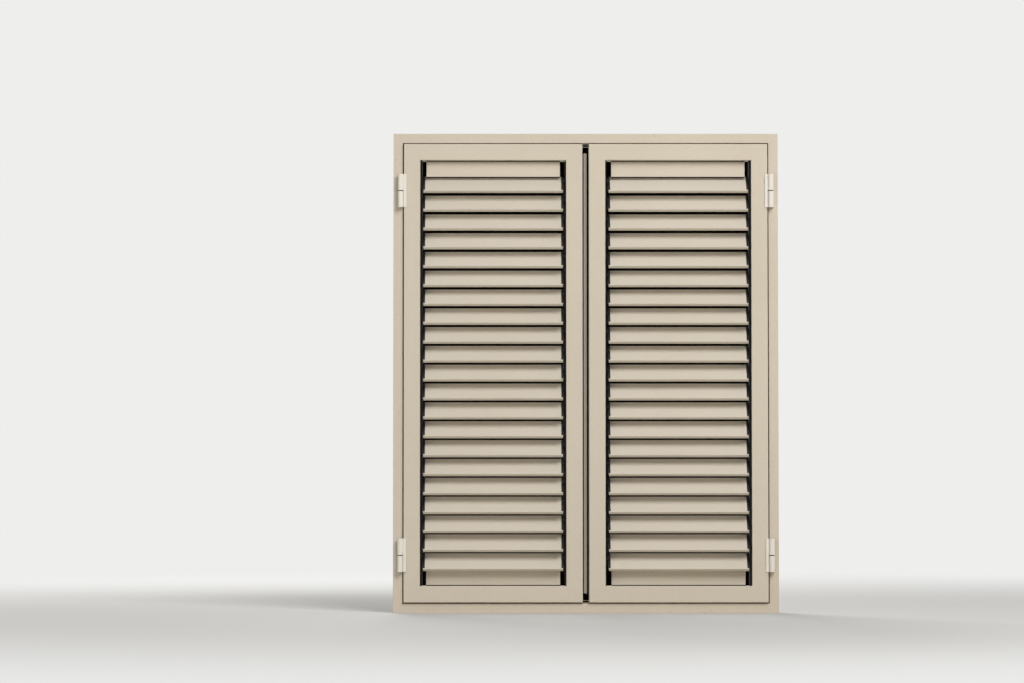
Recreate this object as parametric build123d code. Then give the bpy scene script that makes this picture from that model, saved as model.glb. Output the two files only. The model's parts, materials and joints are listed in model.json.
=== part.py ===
"""Pair of louvred window shutters, hung in their own slim frame.

Axes: +X to the right, +Y into the house, +Z up, seen from the street. The origin is at the middle
of the frame's underside, in the mid-plane of the closed leaves. All sizes are in millimetres.
The left leaf is modelled, and the right leaf is its mirror image.
"""

from build123d import *
import math
import os

# Frame: mitred hollow aluminium profile with a rear lip that the leaves close against
frame_width = 1044
frame_height = 1300
frame_face = 25.5
frame_depth = 52
frame_wall = 2
lip_overlap = 4
seal_gap = 2.5
seal_clearance = 0.3
seal_width = 3
seal_inset = 0.5
screw_hole_radius = 3.2
screw_inset = 200

# Leaves: mitred hollow profile, standing proud of the frame's face
leaf_gap = 3
centre_gap = 17.5
leaf_proud = 8
leaf_depth = 45
leaf_member = 44.5
leaf_wall = 1.8
edge_chamfer = 1.2

# Corner cleats pushed into the hollow profiles
cleat_leg = 70
cleat_play = 0.15

# Slats: rounded blades that turn about the mid-plane of the leaf
slat_count = 21
slat_rest_angle = 45
first_pivot_drop = 56.4
last_pivot_rise = 73.6
nose_reach = 43
tail_reach = 22
nose_thickness = 8.4
tail_thickness = 4.4
nose_bulge = 0.8
top_crown = 0.8

# End caps of the slats, with their pivot pins and, on the meeting side, a crank arm
cap_thickness = 3
cap_lip = 1.2
pivot_radius = 3.5
pivot_play = 0.1
pivot_sides = 6
crank_radius = 14
crank_phase = 39
crank_pin_radius = 2.2
crank_sides = 6
bearing_sides = 4
arm_width = 8
pin_end_gap = 0.5

# Side carriers on the stiles, and the drive bar that joins the crank pins
carrier_thickness = 3
carrier_depth = 36
carrier_end_gap = 0.5
bar_gap = 0.3
bar_thickness = 2.5
bar_width = 8
bar_overhang = 9
grip_height = 46
grip_reach = 26
grip_chamfer = 6

# Closing strips above the first slat and below the last one
strip_end_gap = 16.4
strip_wall = 2
top_strip_height = 44
top_strip_back = 3
bottom_strip_height = 40
bottom_strip_back = 1
strip_flange = 17
hem_height = 8
hem_depth = 4

# Meeting strip in the gap between the leaves, screwed to the back of the left leaf
meeting_width = 8.5
meeting_offset = 3.5
meeting_setback = 18
meeting_wall = 1.5
meeting_flange = 25
meeting_end_gap = 24

# Lift-off hinges: the frame half carries the pin, the leaf half drops over it
hinge_height = 90
hinge_inset = 156
barrel_radius = 7.5
hinge_axis_out = 6
hinge_axis_forward = 4
hinge_pin_radius = 4
hinge_play = 0.05
hinge_split = 0.4
hinge_cap = 4
wing_thickness = 3
wing_reach = 6.8
wing_gap = 0.6
neck_width = 12

# Places worked out from the sizes above
leaf_front = -leaf_depth / 2
leaf_back = leaf_depth / 2
frame_front = leaf_front + leaf_proud
frame_back = frame_front + frame_depth
lip_front = leaf_back + seal_gap
lip_edge = frame_face + leaf_gap + lip_overlap
frame_left = -frame_width / 2
leaf_left = frame_left + frame_face + leaf_gap
leaf_right = -centre_gap / 2
leaf_bottom = frame_face + leaf_gap
leaf_top = frame_height - frame_face - leaf_gap
leaf_width = leaf_right - leaf_left
leaf_height = leaf_top - leaf_bottom
opening_left = leaf_left + leaf_member
opening_right = leaf_right - leaf_member
opening_bottom = leaf_bottom + leaf_member
opening_top = leaf_top - leaf_member
opening_middle = (opening_left + opening_right) / 2

first_pivot = opening_top - first_pivot_drop
last_pivot = opening_bottom + last_pivot_rise
slat_pitch = (first_pivot - last_pivot) / (slat_count - 1)
pivot_heights = [first_pivot - slat_pitch * i for i in range(slat_count)]

thick_carrier = carrier_thickness + bar_gap + bar_thickness
cap_inset = thick_carrier + bar_gap
blade_length = opening_right - opening_left - 2 * (cap_inset + cap_thickness)
pin_length = cap_inset - pin_end_gap

hinge_x = frame_left + frame_face - hinge_axis_out
hinge_y = leaf_front - hinge_axis_forward
hinge_centres = [hinge_inset, frame_height - hinge_inset]


def mitred(profile, length, reach):
    """A profile drawn in (inward, depth) run along Z, with both ends mitred at 45 degrees."""
    bar = extrude(profile, amount=length)
    corners = [(0, 0), (0, length), (reach, length - reach), (reach, reach)]
    mitre_outline = Plane.XZ * make_face(Polyline(*corners, close=True))
    return bar & extrude(mitre_outline, amount=2 * frame_depth, both=True)


def hollow(outline, wall):
    """The wall of an extruded profile, left when its chamber is taken out."""
    return outline - offset(outline, amount=-wall, kind=Kind.INTERSECTION)


def eased_front(outline, front, size):
    """Takes the corners off a profile along its front face."""
    corners = [v for v in outline.vertices() if abs(v.Y - front) < 1e-6]
    return chamfer(corners, size)


def upright(bar, left, bottom):
    """Stands a mitred member as the left side of a rectangle."""
    return Pos(left, 0, bottom) * bar


def lying(bar, right, bottom):
    """Lays a mitred member as the bottom side of a rectangle."""
    return Pos(right, 0, bottom) * Rot(0, -90, 0) * bar


def mirrored_across(shape, x):
    """The same shape on the other side of the upright plane at x."""
    return mirror(shape, about=Plane.YZ.offset(x))


def mirrored_up(shape, z):
    """The same shape on the other side of the level plane at z."""
    return mirror(shape, about=Plane.XY.offset(z))


def save(shape, name):
    """Writes one named piece, or one group of like pieces."""
    export_step(shape, f"parts/{name}.step")


def frame_outline():
    """Outer outline of the frame profile: a box with a lip along its rear inner edge."""
    points = [
        (0, frame_front),
        (frame_face, frame_front),
        (frame_face, lip_front),
        (lip_edge, lip_front),
        (lip_edge, frame_back),
        (0, frame_back),
    ]
    return make_face(Polyline(*points, close=True))


def frame_jambs():
    """Left and right uprights of the frame, each drilled through its lip for the wall screws."""
    profile = hollow(frame_outline(), frame_wall)
    left = upright(mitred(profile, frame_height, lip_edge), frame_left, 0)
    hole_y = (lip_front + frame_back) / 2
    for height in (screw_inset, frame_height - screw_inset):
        drill = Cylinder(screw_hole_radius, 2 * lip_edge, rotation=(0, 90, 0))
        left -= Pos(frame_left + lip_edge, hole_y, height) * drill
    return Compound([left, mirrored_across(left, 0)])


def frame_head_and_sill():
    """Top and bottom members of the frame."""
    profile = hollow(frame_outline(), frame_wall)
    sill = lying(mitred(profile, frame_width, lip_edge), -frame_left, 0)
    return Compound([sill, mirrored_up(sill, frame_height / 2)])


def cleat(member, wall, front, back, leg):
    """An L-shaped block that joins two hollow members at the lower left corner of a rectangle."""
    low = wall + cleat_play
    high = member - wall - cleat_play
    depth = back - front - 2 * (wall + cleat_play)
    points = [(low, low), (leg, low), (leg, high), (high, high), (high, leg), (low, leg)]
    outline = Plane.XZ * make_face(Polyline(*points, close=True))
    return Pos(0, back - wall - cleat_play, 0) * extrude(outline, amount=depth)


def four_cleats(corner, left, bottom, width, height):
    """The same cleat in all four corners of a rectangle."""
    lower_left = Pos(left, 0, bottom) * corner
    lower = [lower_left, mirrored_across(lower_left, left + width / 2)]
    return lower + [mirrored_up(piece, bottom + height / 2) for piece in lower]


def frame_corner_cleats():
    """Cleats in the main chamber of the frame profile, in front of its lip."""
    corner = cleat(frame_face, frame_wall, frame_front, lip_front, cleat_leg)
    return Compound(four_cleats(corner, frame_left, 0, frame_width, frame_height))


def frame_seal():
    """Rubber strip on the front of the frame's lip, all round behind the edges of the leaves."""
    inner = lip_edge - seal_inset
    outer = inner - seal_width
    ring = Rectangle(frame_width - 2 * outer, frame_height - 2 * outer)
    ring -= Rectangle(frame_width - 2 * inner, frame_height - 2 * inner)
    strip_depth = seal_gap - seal_clearance
    return Pos(0, lip_front, frame_height / 2) * extrude(Plane.XZ * ring, amount=strip_depth)


def leaf_profile():
    """Section of every leaf member: a hollow box with eased front edges."""
    box = Pos(leaf_member / 2, 0) * Rectangle(leaf_member, leaf_depth)
    return eased_front(hollow(box, leaf_wall), leaf_front, edge_chamfer)


def leaf_stiles():
    """Hinge stile and meeting stile of the left leaf."""
    bar = mitred(leaf_profile(), leaf_height, leaf_member)
    hinge_stile = upright(bar, leaf_left, leaf_bottom)
    meeting_stile = mirrored_across(hinge_stile, (leaf_left + leaf_right) / 2)
    return Compound([hinge_stile, meeting_stile])


def leaf_rails_and_cleats():
    """Top and bottom rail of the left leaf, with the cleats of its four corners."""
    bar = mitred(leaf_profile(), leaf_width, leaf_member)
    bottom_rail = lying(bar, leaf_right, leaf_bottom)
    top_rail = mirrored_up(bottom_rail, (leaf_bottom + leaf_top) / 2)
    corner = cleat(leaf_member, leaf_wall, leaf_front, leaf_back, cleat_leg)
    cleats = four_cleats(corner, leaf_left, leaf_bottom, leaf_width, leaf_height)
    return Compound([bottom_rail, top_rail, *cleats])


def slat_section():
    """Blade section in the closed, upright position: nose down, weather side to the front."""
    nose = -(nose_reach - nose_bulge)
    half_nose = nose_thickness / 2
    half_tail = tail_thickness / 2
    middle = ((nose + tail_reach) / 2, (half_nose + half_tail) / 2)
    outline = [
        Polyline((half_nose, nose), (half_tail, tail_reach), (-half_tail, tail_reach)),
        ThreePointArc((-half_tail, tail_reach), (-middle[1] - top_crown, middle[0]), (-half_nose, nose)),
        ThreePointArc((-half_nose, nose), (0, -nose_reach), (half_nose, nose)),
    ]
    return make_face(outline)


def cap_section():
    """Outline of an end cap: the blade's section with a small lip all round."""
    half_nose = nose_thickness / 2 + cap_lip
    half_tail = tail_thickness / 2 + cap_lip
    low = -nose_reach - cap_lip
    high = tail_reach + cap_lip
    corners = [(half_nose, low), (half_tail, high), (-half_tail, high), (-half_nose, low)]
    return make_face(Polyline(*corners, close=True))


def crank_place():
    """Centre of the crank pin, for a slat in the closed, upright position."""
    phase = math.radians(90 - crank_phase)
    return (crank_radius * math.cos(phase), crank_radius * math.sin(phase))


def crank_arm():
    """Outline of the arm that carries the crank pin beside the blade's underside."""
    y, z = crank_place()
    half = arm_width / 2
    return Pos((y + half) / 2, z) * Rectangle(y + half, arm_width)


def slat():
    """One slat, closed and upright about its pivot: blade, both caps, pins and crank."""
    half = blade_length / 2
    blade = Plane.YZ * slat_section()
    piece = extrude(blade, amount=half, both=True)
    cap = extrude(Plane.YZ * cap_section(), amount=cap_thickness)
    pin_face = RegularPolygon(pivot_radius, pivot_sides)
    pin = extrude(Plane.YZ * pin_face, amount=cap_thickness + pin_length)
    plain_end = cap + pin
    crank_end = plain_end + extrude(Plane.YZ * crank_arm(), amount=cap_thickness)
    crank_face = Pos(*crank_place()) * RegularPolygon(crank_pin_radius, crank_sides)
    crank_end += extrude(Plane.YZ * crank_face, amount=cap_thickness + bar_gap + bar_thickness)
    return piece + Pos(half, 0, 0) * crank_end + Pos(-half, 0, 0) * mirror(plain_end, about=Plane.YZ)


def carrier(thickness):
    """A side carrier, with one bearing hole for each slat, standing on the plane x = 0."""
    height = opening_top - opening_bottom - 2 * carrier_end_gap
    middle = (opening_top + opening_bottom) / 2
    face = Pos(0, middle) * Rectangle(carrier_depth, height)
    hole = RegularPolygon(pivot_radius + pivot_play, bearing_sides, major_radius=False)
    places = [(0, pivot) for pivot in pivot_heights]
    face -= Locations(*places) * hole
    return extrude(Plane.YZ * face, amount=thickness)


def slat_carriers():
    """Carrier on the hinge stile, and the thinner one behind the drive bar."""
    hinge_side = Pos(opening_left, 0, 0) * carrier(thick_carrier)
    meeting_side = Pos(opening_right - carrier_thickness, 0, 0) * carrier(carrier_thickness)
    return Compound([hinge_side, meeting_side])


def drive_bar():
    """Flat bar with a hole for every crank pin and a grip that stands out behind the leaf."""
    turn = math.radians(90 - slat_rest_angle - crank_phase)
    crank_y = crank_radius * math.cos(turn)
    crank_z = crank_radius * math.sin(turn)
    top = first_pivot + crank_z + bar_overhang
    bottom = last_pivot + crank_z - bar_overhang
    face = Pos(crank_y, (top + bottom) / 2) * Rectangle(bar_width, top - bottom)
    grip = Pos(crank_y + grip_reach / 2, (top + bottom) / 2) * Rectangle(grip_reach, grip_height)
    outer = [v for v in grip.vertices() if v.X > crank_y + 1]
    face += chamfer(outer, grip_chamfer)
    hole = RegularPolygon(crank_pin_radius + pivot_play, bearing_sides, major_radius=False)
    places = [(crank_y, height + crank_z) for height in pivot_heights]
    face -= Locations(*places) * hole
    bar = extrude(Plane.YZ * face, amount=bar_thickness)
    return Pos(opening_right - carrier_thickness - bar_gap - bar_thickness, 0, 0) * bar


def strip(points):
    """A closing strip from its section in (depth, height), between the carriers."""
    length = opening_right - opening_left - 2 * strip_end_gap
    face = Plane.YZ * make_face(Polyline(*points, close=True))
    return Pos(opening_middle, 0, 0) * extrude(face, amount=length / 2, both=True)


def closing_strips():
    """Strip in front of the first slat's tail, and strip behind the last slat's nose."""
    back = -top_strip_back
    front = back - strip_wall
    low = opening_top - top_strip_height
    top_points = [
        (back, low),
        (back, opening_top - strip_wall),
        (front + strip_flange, opening_top - strip_wall),
        (front + strip_flange, opening_top),
        (front, opening_top),
        (front, low + hem_height),
        (front - hem_depth, low + hem_height - hem_depth / 2),
        (front - hem_depth, low),
    ]
    face = -bottom_strip_back
    high = opening_bottom + bottom_strip_height
    bottom_points = [
        (face, opening_bottom),
        (face + strip_flange, opening_bottom),
        (face + strip_flange, opening_bottom + strip_wall),
        (face + strip_wall, opening_bottom + strip_wall),
        (face + strip_wall, high),
        (face, high),
    ]
    return Compound([strip(top_points), strip(bottom_points)])


def meeting_strip():
    """Hollow bar in the gap between the leaves, on a flange behind the left meeting stile."""
    left = leaf_right + meeting_offset
    right = left + meeting_width
    front = leaf_front + meeting_setback
    back = leaf_back + meeting_wall
    points = [
        (left, front),
        (right, front),
        (right, back),
        (leaf_right - meeting_flange, back),
        (leaf_right - meeting_flange, leaf_back),
        (left, leaf_back),
    ]
    chamber_points = [
        (left + meeting_wall, front + meeting_wall),
        (right - meeting_wall, front + meeting_wall),
        (right - meeting_wall, leaf_back),
        (left + meeting_wall, leaf_back),
    ]
    profile = make_face(Polyline(*points, close=True))
    profile -= make_face(Polyline(*chamber_points, close=True))
    bar = extrude(profile, amount=leaf_height - 2 * meeting_end_gap)
    return Pos(0, 0, leaf_bottom + meeting_end_gap) * bar


def frame_hinge_half():
    """Lower knuckle with its pin, and the neck that seats on the frame's face, centred on z = 0."""
    knuckle_height = hinge_height / 2 - hinge_split / 2
    knuckle = Pos(0, 0, -hinge_height / 2) * extrude(Circle(barrel_radius), amount=knuckle_height)
    neck_depth = frame_front - hinge_y
    neck = Pos(-barrel_radius + neck_width / 2, neck_depth / 2) * Rectangle(neck_width, neck_depth)
    knuckle += Pos(0, 0, -hinge_height / 2) * extrude(neck, amount=knuckle_height)
    pin_height = hinge_height - hinge_cap - hinge_split
    pin = Pos(0, 0, -hinge_height / 2) * extrude(Circle(hinge_pin_radius), amount=pin_height)
    return Pos(hinge_x, hinge_y, 0) * (knuckle + pin)


def frame_hinge_halves():
    """The four frame halves, two at each side."""
    left = [Pos(0, 0, height) * frame_hinge_half() for height in hinge_centres]
    right = [mirrored_across(half, 0) for half in left]
    return Compound(left + right)


def leaf_hinge_half():
    """Upper knuckle with a capped bore, and the wing on the leaf's face, centred on z = 0."""
    knuckle_height = hinge_height / 2 - hinge_split / 2
    knuckle = Pos(0, 0, hinge_split / 2) * extrude(Circle(barrel_radius), amount=knuckle_height)
    wing_front = hinge_axis_forward - wing_thickness
    wing_end = leaf_left + wing_reach - hinge_x
    wing_middle = wing_front + wing_thickness / 2
    root = Pos(wing_end / 2, wing_middle) * Rectangle(wing_end, wing_thickness)
    knuckle += Pos(0, 0, hinge_split / 2) * extrude(root, amount=knuckle_height)
    wing_start = barrel_radius + wing_gap
    wing_width = wing_end - wing_start
    wing = Pos(wing_start + wing_width / 2, wing_middle) * Rectangle(wing_width, wing_thickness)
    knuckle += Pos(0, 0, -hinge_height / 2) * extrude(wing, amount=hinge_height)
    bore_height = hinge_height / 2 - hinge_cap
    bore = Circle(hinge_pin_radius + hinge_play)
    return Pos(hinge_x, hinge_y, 0) * (knuckle - extrude(bore, amount=bore_height))


def leaf_hinge_halves():
    """The two leaf halves of the left leaf."""
    return Compound([Pos(0, 0, height) * leaf_hinge_half() for height in hinge_centres])


def save_leaf(side, place):
    """Writes every piece of one leaf, put in its place by the given function."""
    pieces = {
        "leaf_stiles": leaf_stiles(),
        "leaf_rails_and_cleats": leaf_rails_and_cleats(),
        "leaf_hinge_halves": leaf_hinge_halves(),
        "slat_carriers": slat_carriers(),
        "closing_strips": closing_strips(),
        "drive_bar": drive_bar(),
    }
    for name, piece in pieces.items():
        save(place(piece), f"{side}_{name}")
    tilted = Rot(-slat_rest_angle, 0, 0) * slat()
    for number, height in enumerate(pivot_heights, start=1):
        seated = Pos(opening_middle, 0, height) * tilted
        save(place(seated), f"{side}_slat_{number:02d}")


def main():
    """Writes the frame, both leaves and the meeting strip."""
    os.makedirs("parts", exist_ok=True)
    save(frame_jambs(), "frame_jambs")
    save(frame_head_and_sill(), "frame_head_and_sill")
    save(frame_corner_cleats(), "frame_corner_cleats")
    save(frame_hinge_halves(), "frame_hinge_halves")
    save(frame_seal(), "frame_seal")
    save(meeting_strip(), "meeting_strip")
    save_leaf("left", lambda piece: piece)
    save_leaf("right", lambda piece: mirrored_across(piece, 0))


main()
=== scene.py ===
"""Looks of a pair of louvred window shutters in their own frame.

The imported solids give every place. Each painted profile is redrawn over its solid with softened
edges, each slat gets its extruded blade and its plastic end caps, and each surface gets its finish.
Sizes are written in millimetres, and places in the shared axes: +X right, +Y to the back, +Z up.
"""

import json
import logging
import math
from dataclasses import dataclass, field, replace
from enum import Enum

import bmesh
import bpy
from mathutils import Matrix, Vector

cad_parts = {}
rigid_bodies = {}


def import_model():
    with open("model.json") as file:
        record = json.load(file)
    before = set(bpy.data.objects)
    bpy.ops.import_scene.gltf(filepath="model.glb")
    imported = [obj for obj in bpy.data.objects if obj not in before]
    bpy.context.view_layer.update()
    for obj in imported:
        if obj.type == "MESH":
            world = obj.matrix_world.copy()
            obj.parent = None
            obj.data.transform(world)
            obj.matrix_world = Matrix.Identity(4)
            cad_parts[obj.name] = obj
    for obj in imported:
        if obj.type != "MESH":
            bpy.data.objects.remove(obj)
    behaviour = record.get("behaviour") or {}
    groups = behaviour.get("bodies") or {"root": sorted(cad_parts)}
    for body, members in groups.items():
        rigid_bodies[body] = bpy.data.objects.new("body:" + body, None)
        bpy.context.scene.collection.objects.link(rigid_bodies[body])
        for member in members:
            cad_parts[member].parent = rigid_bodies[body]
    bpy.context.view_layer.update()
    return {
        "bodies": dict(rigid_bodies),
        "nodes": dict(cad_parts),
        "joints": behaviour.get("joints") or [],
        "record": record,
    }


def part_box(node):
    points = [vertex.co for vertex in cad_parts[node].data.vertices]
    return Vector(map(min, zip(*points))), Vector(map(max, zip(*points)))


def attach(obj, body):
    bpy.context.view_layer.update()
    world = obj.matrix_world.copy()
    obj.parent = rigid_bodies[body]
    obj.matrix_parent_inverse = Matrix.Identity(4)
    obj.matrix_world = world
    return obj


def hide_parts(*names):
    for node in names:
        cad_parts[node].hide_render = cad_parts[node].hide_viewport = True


MM = 0.001

# Edges that turn by more than the first angle are rounded, and grown forms are smooth up to the second.
ROUNDED_ANGLE = math.radians(30)
SMOOTH_ANGLE = math.radians(32)
# Points closer than this are one point, in metres.
SOLID_MERGE = 2e-6
FORM_MERGE = 1e-6
# How far each part of a mitre's normal may be from its exact value.
MITRE_TOLERANCE = 0.01
# At its highest weight a softened piece takes its normals from the large flat faces.
FLAT_FACE_WEIGHT = 100

# The curve of display colours: straight up to its knee, and a power above it.
DISPLAY_WHITE = 255
DISPLAY_KNEE = 0.04045
DISPLAY_SLOPE = 12.92
DISPLAY_SHIFT = 0.055
DISPLAY_POWER = 2.4

Socket = bpy.types.NodeSocket
Number = float | Socket
Colour = tuple[int, int, int]
LinearColour = tuple[float, float, float, float]
Place = tuple[float, float, float]

log = logging.getLogger("shutters")


class Side(Enum):
    """The two leaves, as seen from the front."""

    LEFT = "left"
    RIGHT = "right"

    @property
    def outward(self) -> int:
        """Sign of X from the meeting edge towards the hinges."""
        return -1 if self is Side.LEFT else 1

    def named(self, piece: str) -> str:
        """Name of this side's own piece."""
        return f"{self.value}_{piece}"


class Slot(Enum):
    """Material slots of the record."""

    FRAME_PAINT = "frame_paint"
    LEAF_PAINT = "leaf_paint"
    SLATS = "slats"
    HINGES = "hinges"
    MEETING_STRIP = "meeting_strip"
    CARRIERS = "carriers"
    DRIVE_BARS = "drive_bars"
    CLEATS = "cleats"
    SEAL = "seal"


class Coat(Enum):
    """Finishes of the shutters. Some share a slot of the record."""

    FRAME = "frame"
    LEAF = "leaf"
    SLAT = "slat"
    STRIP = "strip"
    HINGE = "hinge"
    CARRIER = "carrier"
    CAP = "cap"
    SEAL = "seal"
    BAR = "bar"
    CLEAT = "cleat"
    SCREW = "screw"


def linear(colour: Colour) -> LinearColour:
    """Turns a display colour into the renderer's own.

    Args:
        colour: red, green and blue, from 0 to 255.

    Returns:
        The linear colour, with full opacity.
    """
    lights = []
    for value in colour:
        share = value / DISPLAY_WHITE
        raised = ((share + DISPLAY_SHIFT) / (1 + DISPLAY_SHIFT)) ** DISPLAY_POWER
        lights.append(share / DISPLAY_SLOPE if share <= DISPLAY_KNEE else raised)
    return (*lights, 1.0)


def in_metres(sizes: object, *names: str) -> dict[str, float]:
    """Named size fields as a node tree's inputs in metres, where nose_reach is called Nose reach."""
    return {name.replace("_", " ").capitalize(): getattr(sizes, name) * MM for name in names}


def new_object(name: str, data: bpy.types.ID) -> bpy.types.Object:
    """Adds an object to the scene.

    Args:
        name: the object's name.
        data: its mesh, light or camera.

    Returns:
        The new object, at the origin.
    """
    thing = bpy.data.objects.new(name, data)
    bpy.context.scene.collection.objects.link(thing)
    return thing


def freeze(piece: bpy.types.Object) -> None:
    """Turns what an object's modifiers make into its plain mesh, and removes the modifiers.

    Args:
        piece: the object. Its new mesh takes its name.
    """
    evaluated = piece.evaluated_get(bpy.context.evaluated_depsgraph_get())
    mesh = bpy.data.meshes.new_from_object(evaluated)
    piece.modifiers.clear()
    unfinished = piece.data
    piece.data = mesh
    bpy.data.meshes.remove(unfinished)
    mesh.name = piece.name


class Graph:
    """Adds nodes to one node tree and joins their sockets."""

    # The Mix node repeats its sockets' names, so its colours go by number.
    MIX_INPUTS = (0, 6, 7)
    MIX_RESULT = 2

    def __init__(self, tree: bpy.types.NodeTree) -> None:
        """Keeps the tree that the nodes go into."""
        self.tree = tree

    @classmethod
    def emptied(cls, owner: bpy.types.Material | bpy.types.World) -> "Graph":
        """Clears the nodes that a material or a world starts with.

        Args:
            owner: the material or the world.

        Returns:
            The graph of its empty tree.
        """
        owner.use_nodes = True
        owner.node_tree.nodes.clear()
        return cls(owner.node_tree)

    def add(
        self, kind: str, inputs: dict[str | int, object] | None = None, **settings: object
    ) -> bpy.types.Node:
        """Adds one node.

        Args:
            kind: the node's type name.
            inputs: values or sockets for its inputs, by name or by number.
            **settings: the node's own properties.

        Returns:
            The new node.
        """
        node = self.tree.nodes.new(kind)
        for name, value in settings.items():
            setattr(node, name, value)
        for name, value in (inputs or {}).items():
            self.feed(node.inputs[name], value)
        return node

    def feed(self, socket: Socket, value: object) -> None:
        """Links a socket to another one, or sets its value.

        Args:
            socket: the input to feed.
            value: the other socket, or a plain value.
        """
        if isinstance(value, bpy.types.NodeSocket):
            self.tree.links.new(value, socket)
        else:
            socket.default_value = value

    def group(self, tree: bpy.types.NodeTree, inputs: dict[str, object]) -> bpy.types.NodeOutputs:
        """Places a shared group.

        Args:
            tree: the group's tree.
            inputs: values or sockets for its inputs. The others keep the group's own values.

        Returns:
            The outputs of the group's node.
        """
        node = self.add("ShaderNodeGroup", node_tree=tree)
        for label, value in inputs.items():
            self.feed(node.inputs[label], value)
        return node.outputs

    def blend(self, share: Number, first: Socket | LinearColour, second: Socket | LinearColour) -> Socket:
        """Mixes two colours.

        Args:
            share: the second colour's share, from 0 to 1.
            first: the colour at 0.
            second: the colour at 1.

        Returns:
            The mixed colour.
        """
        node = self.add("ShaderNodeMix", data_type="RGBA")
        for number, value in zip(self.MIX_INPUTS, (share, first, second)):
            self.feed(node.inputs[number], value)
        return node.outputs[self.MIX_RESULT]

    def math(self, operation: str, *values: Number, clamp: bool = False) -> Socket:
        """Result of one Math node on up to three numbers or sockets."""
        node = self.add("ShaderNodeMath", dict(enumerate(values)), operation=operation, use_clamp=clamp)
        return node.outputs[0]

    def half(self, value: Number) -> Socket:
        """Half of a number."""
        return self.math("MULTIPLY", value, 0.5)

    def minus(self, value: Number) -> Socket:
        """A number with its sign changed."""
        return self.math("MULTIPLY", value, -1.0)

    def vector(self, x: Number = 0.0, y: Number = 0.0, z: Number = 0.0) -> Socket:
        """A vector from three numbers or sockets."""
        return self.add("ShaderNodeCombineXYZ", {"X": x, "Y": y, "Z": z}).outputs[0]

    def scaled(self, vector: Socket, scale: Socket | Place) -> Socket:
        """A vector whose parts are multiplied by those of another one."""
        return self.add("ShaderNodeVectorMath", {0: vector, 1: scale}, operation="MULTIPLY").outputs[0]


class ShaderGroup(Graph):
    """A shader node group with named inputs and outputs, built once and used by several finishes."""

    NOISE_ROUGHNESS = 0.55

    def __init__(self, name: str, numbers: dict[str, float], outputs: list[str]) -> None:
        """Makes the empty group.

        Args:
            name: the group's name.
            numbers: its number inputs with their default values.
            outputs: the names of its value outputs.
        """
        super().__init__(bpy.data.node_groups.new(name, "ShaderNodeTree"))
        self.tree.interface.new_socket("Vector", in_out="INPUT", socket_type="NodeSocketVector")
        for label, value in numbers.items():
            socket = self.tree.interface.new_socket(label, in_out="INPUT", socket_type="NodeSocketFloat")
            socket.default_value = value
        for label in outputs:
            self.tree.interface.new_socket(label, in_out="OUTPUT", socket_type="NodeSocketFloat")
        self.values = self.add("NodeGroupInput").outputs
        self.results = self.add("NodeGroupOutput").inputs

    def per_metre(self, size: str) -> Socket:
        """How many times the size that an input gives goes into a metre."""
        return self.math("DIVIDE", 1.0, self.values[size])

    def noise(self, place: Socket, scale: Number, detail: float) -> Socket:
        """A smooth random value from 0 to 1, with so many marks to a metre and so many finer layers."""
        inputs = {"Vector": place, "Scale": scale, "Detail": detail, "Roughness": self.NOISE_ROUGHNESS}
        return self.add("ShaderNodeTexNoise", inputs, noise_dimensions="3D").outputs[0]


@dataclass(frozen=True)
class Grain:
    """Fine unevenness of a coated or moulded surface. Size and depth are in millimetres."""

    size: float = 1.5
    depth: float = 0.02
    detail: float = 2.0

    def group(self) -> bpy.types.NodeTree:
        """Builds the shader group.

        Returns:
            A group that gives a height in metres at each point, from the grain's size and depth.
        """
        group = ShaderGroup("surface_grain", in_metres(self, "size", "depth"), ["Height"])
        noise = group.noise(group.values["Vector"], group.per_metre("Size"), self.detail)
        group.feed(group.results["Height"], group.math("MULTIPLY", noise, group.values["Depth"]))
        return group.tree


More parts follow.
